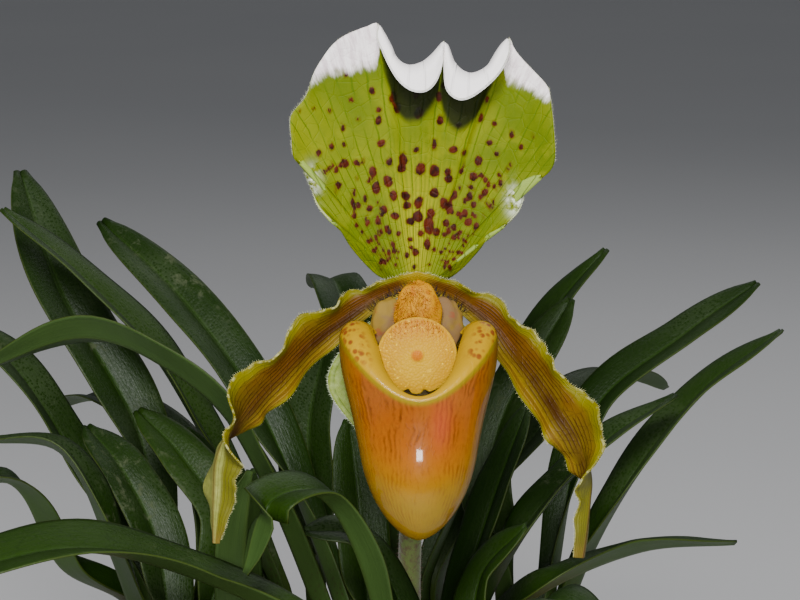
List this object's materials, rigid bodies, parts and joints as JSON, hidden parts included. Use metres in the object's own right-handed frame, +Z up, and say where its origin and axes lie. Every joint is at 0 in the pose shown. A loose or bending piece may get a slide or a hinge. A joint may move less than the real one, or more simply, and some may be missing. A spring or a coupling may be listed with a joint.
{
  "type": "potted paphiopedilum orchid",
  "caption": "Slipper orchid in a plain round pot: fans of strap leaves in bark and one open flower with a spotted hood, drooping petals and a glossy pouch.",
  "frame": {"origin": "middle of the pot's underside", "axes": "+Z up, the flower looks towards -Y and a little up, +X to the viewer's right"},
  "size_m": [0.2111, 0.1987, 0.2762],
  "materials": {
    "leaf": "waxy green leaf, satin, with a lighter margin and mid-rib groove",
    "scape": "green flower stem and ovary with fine purple hairs",
    "bract": "thin green sheath, lightly spotted",
    "dorsal_sepal": "yellow-green petal tissue with maroon spots and a white top margin",
    "synsepal": "pale green petal tissue, faintly veined",
    "petal": "ochre petal tissue with a dark mid-line, waxy",
    "pouch": "orange-brown waxy petal tissue with a fine net of veins, glossy",
    "staminode": "golden, finely grained",
    "bark": "dry bark chips, matt",
    "terracotta": "plain unglazed terracotta, matt"
  },
  "bodies": {
    "root": {"leaf_flowering_left_1": "leaf", "leaf_flowering_left_2": "leaf", "leaf_flowering_left_3": "leaf", "leaf_flowering_right_1": "leaf", "leaf_flowering_right_2": "leaf", "leaf_flowering_right_3": "leaf", "leaf_front_left_left_1": "leaf", "leaf_front_left_left_2": "leaf", "leaf_front_left_left_3": "leaf", "leaf_front_left_left_4": "leaf", "leaf_front_left_right_1": "leaf", "leaf_far_left_left_1": "leaf", "leaf_far_left_left_2": "leaf", "leaf_far_left_left_3": "leaf", "leaf_far_left_right_1": "leaf", "leaf_back_left_left_1": "leaf", "leaf_back_left_left_2": "leaf", "leaf_back_left_right_1": "leaf", "leaf_right_right_1": "leaf", "leaf_right_right_2": "leaf", "leaf_right_left_1": "leaf", "leaf_front_left_low": "leaf", "leaf_front_left_bend": "leaf", "leaf_front_left_wide": "leaf", "leaf_front_right_1": "leaf", "leaf_front_right_2": "leaf", "leaf_back_right_1": "leaf", "leaf_back_right_2": "leaf", "leaf_back_left_3": "leaf", "scape": "scape", "ovary": "scape", "bract": "bract", "dorsal_sepal": "dorsal_sepal", "synsepal": "synsepal", "petal_left": "petal", "petal_right": "petal", "pouch": "pouch", "staminode": "staminode", "growing_medium": "bark", "pot": "terracotta"}
  },
  "joints": []
}
